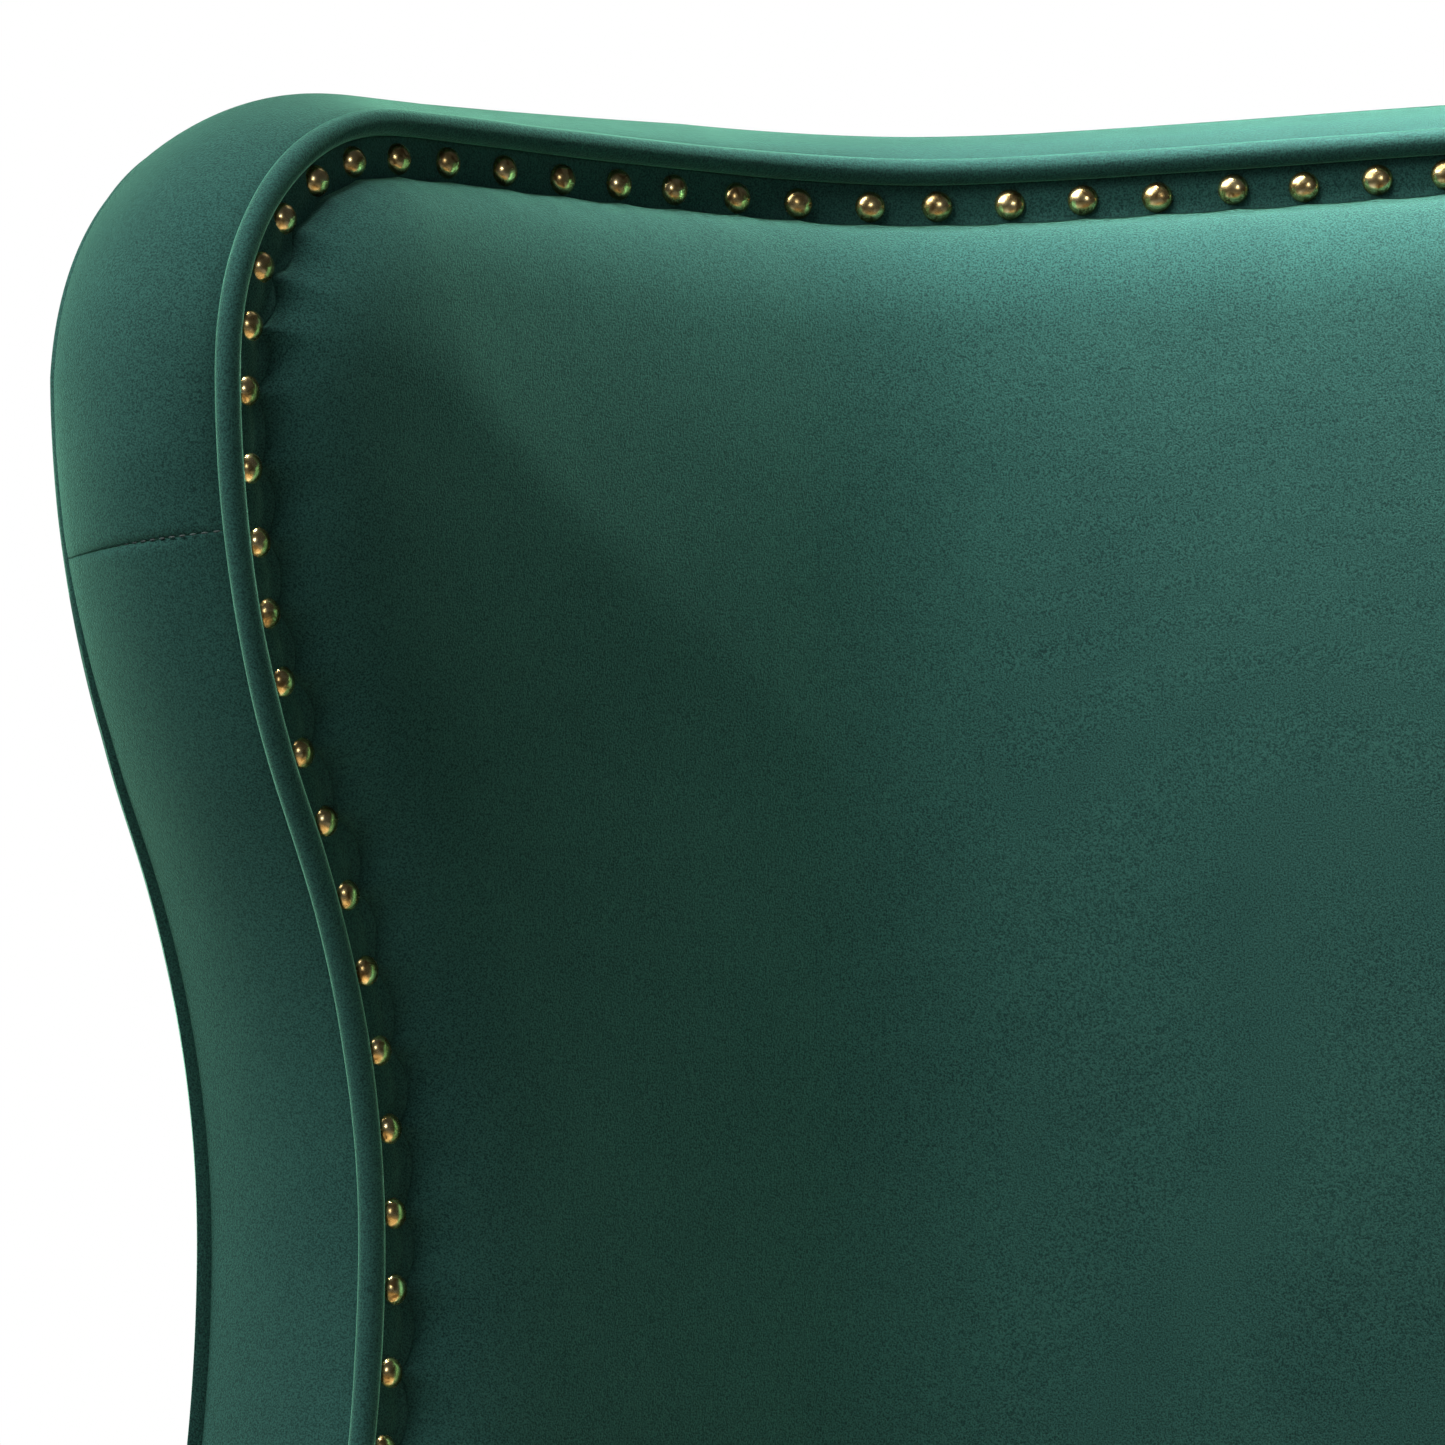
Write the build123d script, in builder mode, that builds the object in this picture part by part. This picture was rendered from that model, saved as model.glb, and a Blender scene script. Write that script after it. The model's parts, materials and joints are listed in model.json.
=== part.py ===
"""Queen bed with an upholstered wingback headboard. Millimetres, +Z up, +Y towards the head end."""
from build123d import *
import math
import os

# ------------------------------------------------------------------ overall
BED_LENGTH = 2296.0
FOOT_HEIGHT = 98.0          # underside of every upholstered panel above the floor
RAIL_TOP = 378.0

# ------------------------------------------------------------------ headboard shell
# The front of the headboard's boards is the reference surface. It is flat between
# the wings, then bends forward through a tight arc and on through a slack one.
FLAT_HALF = 630.0           # half the width of the flat middle
TIGHT_RADIUS = 146.0
TIGHT_SWEEP = 43.0          # degrees turned by the tight arc
SLACK_RADIUS = 700.0
EAR_ANGLE = 65.2            # degrees from straight ahead at the ear, the widest point
SLACK_END = 72.0            # the plan sketch runs past the ear, the outline trims it
CUT_ANGLE = 59.0            # the wing outline is cut square to this direction
BOARD = 12.0
SHELL_DEPTH = 73.0          # board front to the back of the frame
BACK_COVER = 3.0
PAD = 22.0                  # how far the inside back stands in front of the boards
VELVET = 2.0
BAND = 3.0                  # boxing band: velvet over thin wadding

# ------------------------------------------------------------------ headboard outline
WING_TOP = 1407.0
CAMEL_RISE = 26.0           # the middle rises this much above the wings
CORNER_RADIUS = 100.0
WAIST_HEIGHT = 993.0
WAIST_IN = 82.0             # waist set back from the ear
LOBE_HEIGHT = 640.0
LOBE_IN = 20.0              # lower front edge set back from the ear
BAND_SEAM = 1250.0          # cross seam where the side bands meet the top band
BORDER_IN = 10.0             # the welt's width
CUSHION_IN = 25.0           # welt and nail border together
WELT_PROUD = 6.0
BORDER_CLOTH = 1.0

# ------------------------------------------------------------------ nails
NAIL_PITCH = 28.0
NAIL_IN = 17.5
NAIL_RADIUS = 6.0
NAIL_RISE = 3.5
NAIL_SHANK = 0.9
NAIL_LENGTH = 13.0

# ------------------------------------------------------------------ headboard frame
POST_WIDTH = 58.0
FRAME_RAIL = 70.0
FORMER = 18.0
BLOCK_INNER = 690.0
BLOCK_FRONT = -178.0        # face of the corner block that the side rail butts on
BLOCK_TOP = 248.0           # below the mattress

# ------------------------------------------------------------------ side rails and footboard
RAIL_OUTER = 812.0
RAIL_THICK = 36.0
RAIL_PAD = 8.0
FOOTBOARD_INNER = -2150.0   # measured, like every panel position here, from the board front
FOOTBOARD_OUTER = -2220.0
FOOTBOARD_BOARD = 45.0

# ------------------------------------------------------------------ mattress support
SLAT_BOTTOM = 250.0
SLAT_COUNT = 13
SLAT_PITCH = 154.0
SLAT_FIRST = -238.0
SLAT_SIZE = (1536.0, 90.0, 18.0)
LEDGER = (34.0, 38.0)
LEDGER_GAP = 10.0
STRAP = (30.0, 1.5)
STRAP_X = 400.0
BEAM = (45.0, 62.0)
HANGER = 3.0
HANGER_PLATE = (120.0, 122.0)
HANGER_SHELF = 40.0
HANGER_SCREWS = (45.0, 148.0)
CENTRE_LEG = 45.0
CENTRE_LEG_Y = (-770.0, -1460.0)
CENTRE_LEG_BOTTOM = 38.0
LEVELLER_BORE = 5.05
LEVELLER_STEM = 5.0
LEVELLER_PAD = (22.0, 8.0)
LEVELLER_REACH = 62.0
LEVELLER_BORE_DEPTH = 55.0

# ------------------------------------------------------------------ feet and brackets
FOOT_TOP = 62.0
FOOT_BOTTOM = 44.0
FOOT_CORNER = 5.0
FOOT_X = 757.0
HEAD_FOOT_Y = -118.0
TOE_FOOT_Y = -2185.0
BRACKET_LEG = 62.0
BRACKET_THICK = 3.0
BRACKET_HEIGHT = 90.0
BRACKET_BOTTOM = 112.0
BOLT_RADIUS = 4.0
BOLT_HOLE = 4.5
BOLT_HEAD = (6.5, 5.5)
BOLT_LENGTH = 22.0
BOLT_RISE = (25.0, 65.0)
BOLT_SET = 40.0             # bolt row's distance from the bracket's corner
SCREW_RADIUS = 2.5
SCREW_HEAD = (4.5, 3.0)
SCREW_LENGTH = 48.0
SCREW_COUNT = 7
SCREW_MARGIN = 120.0

BOARD_Y = BED_LENGTH / 2 - SHELL_DEPTH - BACK_COVER
TOP = WING_TOP + CAMEL_RISE
LEDGER_LENGTH = BLOCK_FRONT - FOOTBOARD_INNER
RAIL_INNER = RAIL_OUTER - RAIL_THICK


def polar(radius, angle):
    """Plan vector at `angle` degrees from straight back (+Y) towards +X."""
    turn = math.radians(angle)
    return Vector(radius * math.sin(turn), radius * math.cos(turn))


TIGHT_CENTRE = Vector(FLAT_HALF, BOARD_Y - TIGHT_RADIUS)
SLACK_CENTRE = TIGHT_CENTRE + polar(TIGHT_RADIUS - SLACK_RADIUS, TIGHT_SWEEP)
EAR = SLACK_CENTRE + polar(SLACK_RADIUS, EAR_ANGLE)
CUT_TURN = math.radians(CUT_ANGLE)
WING_PLANE = Plane(
    origin=(EAR.X, EAR.Y, 0),
    x_dir=(math.cos(CUT_TURN), -math.sin(CUT_TURN), 0),
    z_dir=(-math.sin(CUT_TURN), -math.cos(CUT_TURN), 0),
)
CUT_REACH = 500.0           # longer than any wing, so the cutting prisms go right through


def front_edge():
    """The wing's edge from the end of its level top round the ear and waist to the floor."""
    corner = TangentArc(
        (-CORNER_RADIUS, WING_TOP), (0, WING_TOP - CORNER_RADIUS), tangent=(1, 0)
    )
    half_in = -WAIST_IN / 2
    half_down = (WING_TOP - CORNER_RADIUS + WAIST_HEIGHT) / 2
    ear = TangentArc(corner @ 1, (half_in, half_down), tangent=(0, -1))
    waist = TangentArc(ear @ 1, (-WAIST_IN, WAIST_HEIGHT), tangent=ear % 1)
    half_out = -(WAIST_IN + LOBE_IN) / 2
    half_low = (WAIST_HEIGHT + LOBE_HEIGHT) / 2
    flare = TangentArc(waist @ 1, (half_out, half_low), tangent=waist % 1)
    lobe = TangentArc(flare @ 1, (-LOBE_IN, LOBE_HEIGHT), tangent=flare % 1)
    Line(lobe @ 1, (-LOBE_IN, 0))


def wing(front, back, inset, bottom=FOOT_HEIGHT):
    """Right wing layer between two depths behind the board front, its edges set in."""
    with BuildPart() as layer:
        with BuildSketch(Plane.XY.offset(bottom)):
            with BuildLine():
                inner = plan_arcs(front)
                outer = plan_arcs(back)
                Line(inner[0], outer[0])
                Line(inner[1], outer[1])
            make_face()
        extrude(amount=TOP - bottom)
        with BuildSketch(WING_PLANE):
            with BuildLine():
                front_edge()
                Polyline(
                    (-LOBE_IN, 0),
                    (-LOBE_IN, -CUT_REACH),
                    (-CUT_REACH, -CUT_REACH),
                    (-CUT_REACH, WING_TOP),
                    (-CORNER_RADIUS, WING_TOP),
                )
            make_face()
            if inset:
                offset(amount=-inset)
        extrude(amount=CUT_REACH, both=True, mode=Mode.INTERSECT)
    return layer.part


def plan_arcs(depth):
    """Draws a wing's two plan arcs at a depth behind the board front, gives their ends."""
    tight = CenterArc(TIGHT_CENTRE, TIGHT_RADIUS + depth, 90, -TIGHT_SWEEP)
    slack = CenterArc(
        SLACK_CENTRE, SLACK_RADIUS + depth, 90 - TIGHT_SWEEP, TIGHT_SWEEP - SLACK_END
    )
    return tight @ 0, slack @ 1


def middle(front, back, inset, bottom=FOOT_HEIGHT, half=FLAT_HALF):
    """Flat middle layer between the wings under the gently arched top."""
    with BuildPart() as layer:
        with BuildSketch(Plane.XZ.offset(-BOARD_Y - back)):
            with BuildLine():
                ThreePointArc(
                    (-FLAT_HALF, WING_TOP - inset),
                    (0, TOP - inset),
                    (FLAT_HALF, WING_TOP - inset),
                )
                Polyline(
                    (FLAT_HALF, WING_TOP - inset),
                    (FLAT_HALF, bottom),
                    (-FLAT_HALF, bottom),
                    (-FLAT_HALF, WING_TOP - inset),
                )
            make_face()
            Rectangle(2 * half, 2 * TOP, mode=Mode.INTERSECT)
        extrude(amount=back - front)
    return layer.part


def shell(front, back, inset, bottom=FOOT_HEIGHT):
    """The same layer carried right across the middle and both wings."""
    with BuildPart() as layer:
        add(middle(front, back, inset, bottom))
        add(wing(front, back, inset, bottom))
        mirror(wing(front, back, inset, bottom), about=Plane.YZ)
    return layer.part


def block(x_range, y_range, z_range):
    """A box between two corners, its Y measured from the board front."""
    with BuildPart() as box:
        with Locations(
            (sum(x_range) / 2, BOARD_Y + sum(y_range) / 2, sum(z_range) / 2)
        ):
            Box(
                abs(x_range[1] - x_range[0]),
                abs(y_range[1] - y_range[0]),
                abs(z_range[1] - z_range[0]),
            )
    return box.part


def save(piece, name):
    piece.label = name
    export_step(piece, f"parts/{name}.step")


def save_pair(piece, name):
    """Writes a piece of the +X side and its mirror image on the -X side."""
    save(piece, f"{name}_right")
    with BuildPart() as twin:
        mirror(piece, about=Plane.YZ)
    save(twin.part, f"{name}_left")


os.makedirs("parts", exist_ok=True)

# ------------------------------------------------------------------ headboard boards
# Boards and frame stand one band's thickness inside the finished outline.
save(middle(0, BOARD, BAND), "headboard_middle_board")
save_pair(wing(0, BOARD, BAND), "headboard_wing_board")

# ------------------------------------------------------------------ headboard frame
inside_frame = (BOARD, SHELL_DEPTH)
with BuildPart() as post:
    add(middle(*inside_frame, BAND))
    add(block((-CUT_REACH * 2, FLAT_HALF - POST_WIDTH), inside_frame, (0, TOP)), mode=Mode.SUBTRACT)
save_pair(post.part, "headboard_post")

with BuildPart() as frame_rails:
    add(middle(*inside_frame, BAND, half=FLAT_HALF - POST_WIDTH))
top_rail = frame_rails.part - block(
    (-FLAT_HALF, FLAT_HALF), inside_frame, (0, WING_TOP - FRAME_RAIL)
)
save(top_rail, "headboard_top_rail")
rail_span = (POST_WIDTH - FLAT_HALF, FLAT_HALF - POST_WIDTH)
save(block(rail_span, inside_frame, (FOOT_HEIGHT, FOOT_HEIGHT + FRAME_RAIL)), "headboard_bottom_rail")
middle_rail_bottom = RAIL_TOP + FRAME_RAIL
save(
    block(rail_span, inside_frame, (middle_rail_bottom, middle_rail_bottom + FRAME_RAIL)),
    "headboard_middle_rail",
)


def former(bottom, top):
    """Curved shelf that holds a wing board to its bend."""
    with BuildPart() as shelf:
        add(wing(*inside_frame, BAND))
        add(
            block((0, 2 * CUT_REACH), (-CUT_REACH, SHELL_DEPTH), (bottom, top)),
            mode=Mode.INTERSECT,
        )
    return shelf.part


save_pair(former(FOOT_HEIGHT, FOOT_HEIGHT + FORMER), "wing_former_bottom")
save_pair(former(WAIST_HEIGHT - LOBE_IN, WAIST_HEIGHT - LOBE_IN + FORMER), "wing_former_waist")
save_pair(former(WING_TOP - BAND - FORMER, WING_TOP), "wing_former_top")

with BuildPart() as corner_block:
    add(block((BLOCK_INNER, RAIL_OUTER), (BLOCK_FRONT, 0), (FOOT_HEIGHT, BLOCK_TOP)))
    add(wing(0, 2 * SHELL_DEPTH, -CORNER_RADIUS, 0), mode=Mode.SUBTRACT)
save_pair(corner_block.part, "corner_block")

# ------------------------------------------------------------------ headboard upholstery
# Between the rails the upholstery stops just above the corner blocks.
below_slats = block(
    (-RAIL_OUTER - VELVET, RAIL_OUTER + VELVET), (-CUT_REACH, 0), (0, BLOCK_TOP + VELVET)
)
pad_front = VELVET - PAD
pad_inset = CUSHION_IN + VELVET
save(middle(pad_front, 0, pad_inset) - below_slats, "inside_back_pad")
save_pair(wing(pad_front, 0, pad_inset) - below_slats, "wing_pad")
with BuildPart() as inside_back_cover:
    add(shell(-PAD, 0, CUSHION_IN))
    add(shell(pad_front, VELVET, pad_inset), mode=Mode.SUBTRACT)
    add(below_slats, mode=Mode.SUBTRACT)
save(inside_back_cover.part, "inside_back_cover")

with BuildPart() as nail_border:
    add(shell(-BORDER_CLOTH, 0, BORDER_IN))
    add(shell(-PAD, VELVET, CUSHION_IN), mode=Mode.SUBTRACT)
save(nail_border.part, "nail_border")

with BuildPart() as front_welt:
    add(shell(-WELT_PROUD, 0, 0))
    add(shell(-PAD, VELVET, BORDER_IN), mode=Mode.SUBTRACT)
save(front_welt.part, "front_welt")

with BuildPart() as boxing_band:
    add(shell(0, SHELL_DEPTH, 0))
    add(shell(-VELVET, SHELL_DEPTH + VELVET, BAND), mode=Mode.SUBTRACT)
above_seam = block((-BED_LENGTH, BED_LENGTH), (-CUT_REACH, CUT_REACH), (BAND_SEAM, 2 * TOP))
save(boxing_band.part & above_seam, "boxing_band_top")
side_bands = boxing_band.part - above_seam
save_pair(side_bands.solids().sort_by(Axis.X)[-1], "boxing_band_side")

save(shell(SHELL_DEPTH, SHELL_DEPTH + BACK_COVER, 0), "outside_back_cover")

# ------------------------------------------------------------------ decorative nails
with BuildPart() as nail:
    with BuildSketch(Plane.XZ):
        with BuildLine():
            rim = Line((0, 0), (NAIL_RADIUS, 0))
            crown = RadiusArc(
                rim @ 1, (0, NAIL_RISE), -(NAIL_RADIUS**2 + NAIL_RISE**2) / (2 * NAIL_RISE)
            )
            Line(crown @ 1, rim @ 0)
        make_face()
        with Locations((NAIL_SHANK / 2, -NAIL_LENGTH / 2)):
            Rectangle(NAIL_SHANK, NAIL_LENGTH)
    revolve(axis=Axis.Z)


def board_spot(run):
    """Plan place and facing angle at a distance along the board front from the middle."""
    tight_run = math.radians(TIGHT_SWEEP) * TIGHT_RADIUS
    if run < FLAT_HALF:
        return Vector(run, BOARD_Y), 0.0
    if run < FLAT_HALF + tight_run:
        angle = math.degrees((run - FLAT_HALF) / TIGHT_RADIUS)
        return TIGHT_CENTRE + polar(TIGHT_RADIUS, angle), angle
    angle = TIGHT_SWEEP + math.degrees((run - FLAT_HALF - tight_run) / SLACK_RADIUS)
    return SLACK_CENTRE + polar(SLACK_RADIUS, angle), angle


def run_to(across):
    """Distance along the board front to a point drawn `across` on the wing plane."""
    ear_offset = math.sin(math.radians(EAR_ANGLE - CUT_ANGLE))
    angle = CUT_ANGLE + math.degrees(math.asin(across / SLACK_RADIUS + ear_offset))
    tight_run = math.radians(TIGHT_SWEEP) * TIGHT_RADIUS
    return FLAT_HALF + tight_run + math.radians(angle - TIGHT_SWEEP) * SLACK_RADIUS


def nail_location(run, height):
    """A nail sits on the border cloth and faces out of the shell."""
    spot, angle = board_spot(run)
    seat = spot + polar(-BORDER_CLOTH, angle)
    return Plane(origin=(seat.X, seat.Y, height), z_dir=polar(-1, angle)).location


def top_height(run):
    """Height of the headboard's top edge at a distance from the middle."""
    return WING_TOP + CAMEL_RISE * max(0.0, 1 - (run / FLAT_HALF) ** 2)


with BuildLine() as edge_path:
    front_edge()
edge_wire = edge_path.wire()
corner_run = run_to(-CORNER_RADIUS)
top_count = round(corner_run / NAIL_PITCH)
right_nails = [
    nail_location(corner_run * step / top_count, top_height(corner_run * step / top_count) - NAIL_IN)
    for step in range(1, top_count)
]
edge_count = round((edge_wire.length - FOOT_HEIGHT) / NAIL_PITCH)
for step in range(edge_count):
    share = step * NAIL_PITCH / edge_wire.length
    seat = edge_wire.position_at(share)
    along = edge_wire.tangent_at(share)
    right_nails.append(nail_location(run_to(seat.X + NAIL_IN * along.Y), seat.Y - NAIL_IN * along.X))

with BuildPart() as decorative_nails:
    with Locations(nail_location(0, TOP - NAIL_IN)):
        add(nail.part)
    with BuildPart(mode=Mode.PRIVATE) as right_side:
        with Locations(right_nails):
            add(nail.part)
    add(right_side.part)
    mirror(right_side.part, about=Plane.YZ)
save(decorative_nails.part, "decorative_nails")

# ------------------------------------------------------------------ side rails
rail_run = (FOOTBOARD_INNER, BLOCK_FRONT)
rail_top_pad = RAIL_TOP - VELVET - RAIL_PAD
rail_wrap = block((RAIL_INNER, RAIL_OUTER), rail_run, (FOOT_HEIGHT, RAIL_TOP))
rail_filling = block(
    (RAIL_INNER + VELVET, RAIL_OUTER - VELVET), rail_run, (FOOT_HEIGHT + VELVET, RAIL_TOP - VELVET)
)
rail_board = block(
    (RAIL_INNER + VELVET, RAIL_OUTER - VELVET - RAIL_PAD),
    rail_run,
    (FOOT_HEIGHT + VELVET, rail_top_pad),
)
save_pair(rail_board, "side_rail_board")
save_pair(rail_filling - rail_board, "side_rail_pad")
save_pair(rail_wrap - rail_filling, "side_rail_cover")
ledger_run = (FOOTBOARD_INNER + LEDGER_GAP, BLOCK_FRONT - LEDGER_GAP)
ledger_span = (RAIL_INNER - LEDGER[0], RAIL_INNER)
save_pair(block(ledger_span, ledger_run, (SLAT_BOTTOM - LEDGER[1], SLAT_BOTTOM)), "slat_ledger")

# ------------------------------------------------------------------ footboard
toe_wrap = block(
    (-RAIL_OUTER, RAIL_OUTER), (FOOTBOARD_OUTER, FOOTBOARD_INNER), (FOOT_HEIGHT, RAIL_TOP)
)
toe_filling = block(
    (VELVET - RAIL_OUTER, RAIL_OUTER - VELVET),
    (FOOTBOARD_OUTER + VELVET, FOOTBOARD_INNER - VELVET),
    (FOOT_HEIGHT + VELVET, RAIL_TOP - VELVET),
)
toe_half = RAIL_OUTER - VELVET - RAIL_PAD
toe_board = block(
    (-toe_half, toe_half),
    (FOOTBOARD_INNER - VELVET - FOOTBOARD_BOARD, FOOTBOARD_INNER - VELVET),
    (FOOT_HEIGHT + VELVET, rail_top_pad),
)
save(toe_board, "footboard_board")
save(toe_filling - toe_board, "footboard_pad")
save(toe_wrap - toe_filling, "footboard_cover")

# ------------------------------------------------------------------ feet
with BuildPart() as foot:
    with BuildSketch():
        RectangleRounded(FOOT_BOTTOM, FOOT_BOTTOM, FOOT_CORNER)
    with BuildSketch(Plane.XY.offset(FOOT_HEIGHT)):
        RectangleRounded(FOOT_TOP, FOOT_TOP, FOOT_CORNER)
    loft()
save_pair(foot.part.moved(Location((FOOT_X, BOARD_Y + HEAD_FOOT_Y, 0))), "head_foot")
save_pair(foot.part.moved(Location((FOOT_X, BOARD_Y + TOE_FOOT_Y, 0))), "toe_foot")

# ------------------------------------------------------------------ corner brackets and bolts
bracket_span = (BRACKET_BOTTOM, BRACKET_BOTTOM + BRACKET_HEIGHT)


def bracket(corner_y, way):
    """Angle bracket in a rail's corner, `way` pointing along Y into the bed."""
    rail_leg = (corner_y, corner_y + way * BRACKET_LEG)
    panel_leg = (corner_y, corner_y + way * BRACKET_THICK)
    with BuildPart() as angle:
        add(block((RAIL_INNER - BRACKET_THICK, RAIL_INNER), rail_leg, bracket_span))
        add(block((RAIL_INNER - BRACKET_LEG, RAIL_INNER), panel_leg, bracket_span))
        for rise in BOLT_RISE:
            height = BRACKET_BOTTOM + rise
            with Locations(
                Location((RAIL_INNER, BOARD_Y + corner_y + way * BOLT_SET, height), (0, 90, 0)),
                Location((RAIL_INNER - BOLT_SET, BOARD_Y + corner_y, height), (90, 0, 0)),
            ):
                Cylinder(BOLT_HOLE, 2 * BOLT_LENGTH, mode=Mode.SUBTRACT)
    return angle.part


def bracket_bolts(corner_y, way):
    """Where a bracket's bolts start: on its faces, each pointing back out of the wood."""
    places = []
    for rise in BOLT_RISE:
        height = BRACKET_BOTTOM + rise
        rail_seat = (RAIL_INNER - BRACKET_THICK, BOARD_Y + corner_y + way * BOLT_SET, height)
        panel_seat = (RAIL_INNER - BOLT_SET, BOARD_Y + corner_y + way * BRACKET_THICK, height)
        places.append(Plane(origin=rail_seat, z_dir=(-1, 0, 0)).location)
        places.append(Plane(origin=panel_seat, z_dir=(0, way, 0)).location)
    return places


save_pair(bracket(BLOCK_FRONT, -1), "head_bracket")
save_pair(bracket(FOOTBOARD_INNER, 1), "toe_bracket")

with BuildPart() as bolt:
    with BuildSketch():
        RegularPolygon(BOLT_HEAD[0], 6, major_radius=False)
    extrude(amount=BOLT_HEAD[1])
    with BuildSketch():
        Circle(BOLT_RADIUS)
    extrude(amount=-BOLT_LENGTH)

with BuildPart() as bolts_right:
    with Locations(bracket_bolts(BLOCK_FRONT, -1) + bracket_bolts(FOOTBOARD_INNER, 1)):
        add(bolt.part)
with BuildPart() as bolts:
    add(bolts_right.part)
    mirror(bolts_right.part, about=Plane.YZ)
save(bolts.part, "bracket_bolts")

# ------------------------------------------------------------------ slats
with BuildPart() as slats:
    with Locations([
        (0, BOARD_Y + SLAT_FIRST - SLAT_PITCH * step, SLAT_BOTTOM + SLAT_SIZE[2] / 2)
        for step in range(SLAT_COUNT)
    ]):
        Box(*SLAT_SIZE)
save(slats.part, "slats")
strap_span = (STRAP_X - STRAP[0] / 2, STRAP_X + STRAP[0] / 2)
strap_run = (
    SLAT_FIRST - SLAT_PITCH * (SLAT_COUNT - 1) - SLAT_SIZE[1] / 2,
    SLAT_FIRST + SLAT_SIZE[1] / 2,
)
save_pair(block(strap_span, strap_run, (SLAT_BOTTOM - STRAP[1], SLAT_BOTTOM)), "slat_strap")

# ------------------------------------------------------------------ centre support
beam_bottom = SLAT_BOTTOM - BEAM[1]
beam_half = BEAM[0] / 2
save(
    block(
        (-beam_half, beam_half),
        (FOOTBOARD_INNER + HANGER, -HANGER),
        (beam_bottom, SLAT_BOTTOM),
    ),
    "centre_beam",
)


def hanger(face_y, way):
    """Steel saddle that carries an end of the centre beam."""
    plate_half = HANGER_PLATE[0] / 2
    plate_bottom = SLAT_BOTTOM - HANGER_PLATE[1]
    plate = (face_y, face_y + way * HANGER)
    saddle = (face_y, face_y + way * HANGER_SHELF)
    with BuildPart() as seat:
        add(block((-plate_half, plate_half), plate, (plate_bottom, SLAT_BOTTOM)))
        add(block(
            (-beam_half - HANGER, beam_half + HANGER), saddle, (beam_bottom - HANGER, SLAT_BOTTOM)
        ))
        add(block(
            (-beam_half, beam_half),
            (face_y + way * HANGER, face_y + 2 * way * HANGER_SHELF),
            (beam_bottom, 2 * SLAT_BOTTOM),
        ), mode=Mode.SUBTRACT)
        with Locations(
            Location((HANGER_SCREWS[0], BOARD_Y + face_y, HANGER_SCREWS[1]), (90, 0, 0)),
            Location((-HANGER_SCREWS[0], BOARD_Y + face_y, HANGER_SCREWS[1]), (90, 0, 0)),
        ):
            Cylinder(SCREW_RADIUS, 4 * HANGER, mode=Mode.SUBTRACT)
    return seat.part


save(hanger(0, -1), "beam_hanger_head")
save(hanger(FOOTBOARD_INNER, 1), "beam_hanger_toe")

with BuildPart() as leveller:
    with BuildSketch():
        Circle(LEVELLER_PAD[0])
    extrude(amount=LEVELLER_PAD[1])
    with BuildSketch():
        Circle(LEVELLER_STEM)
    extrude(amount=LEVELLER_REACH)
for name, leg_y in zip(("head", "toe"), CENTRE_LEG_Y):
    with BuildPart() as leg:
        add(block(
            (-CENTRE_LEG / 2, CENTRE_LEG / 2),
            (leg_y - CENTRE_LEG / 2, leg_y + CENTRE_LEG / 2),
            (CENTRE_LEG_BOTTOM, beam_bottom),
        ))
        with Locations((0, BOARD_Y + leg_y, CENTRE_LEG_BOTTOM)):
            Cylinder(LEVELLER_BORE, 2 * LEVELLER_BORE_DEPTH, mode=Mode.SUBTRACT)
    save(leg.part, f"centre_leg_{name}")
    save(leveller.part.moved(Location((0, BOARD_Y + leg_y, 0))), f"leveller_{name}")

# ------------------------------------------------------------------ screws
with BuildPart() as screw:
    with BuildSketch():
        Circle(SCREW_HEAD[0])
    extrude(amount=SCREW_HEAD[1])
    with BuildSketch():
        Circle(SCREW_RADIUS)
    extrude(amount=-SCREW_LENGTH)

ledger_reach = LEDGER_LENGTH - 2 * SCREW_MARGIN
screw_places = [
    Plane(
        origin=(
            RAIL_INNER - LEDGER[0],
            BOARD_Y + BLOCK_FRONT - SCREW_MARGIN - ledger_reach * step / (SCREW_COUNT - 1),
            SLAT_BOTTOM - LEDGER[1] / 2,
        ),
        z_dir=(-1, 0, 0),
    ).location
    for step in range(SCREW_COUNT)
]
for seat_y, way in ((-HANGER, -1), (FOOTBOARD_INNER + HANGER, 1)):
    seat = (HANGER_SCREWS[0], BOARD_Y + seat_y, HANGER_SCREWS[1])
    screw_places.append(Plane(origin=seat, z_dir=(0, way, 0)).location)
with BuildPart() as screws_right:
    with Locations(screw_places):
        add(screw.part)
with BuildPart() as screws:
    add(screws_right.part)
    mirror(screws_right.part, about=Plane.YZ)
save(screws.part, "wood_screws")
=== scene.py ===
"""Looks for the wingback headboard bed: velvet, wadding, welt, nails, wood and steel. Metres."""
import json
import math

import bpy
import numpy as np
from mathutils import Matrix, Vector, kdtree, noise
from mathutils.geometry import delaunay_2d_cdt


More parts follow.
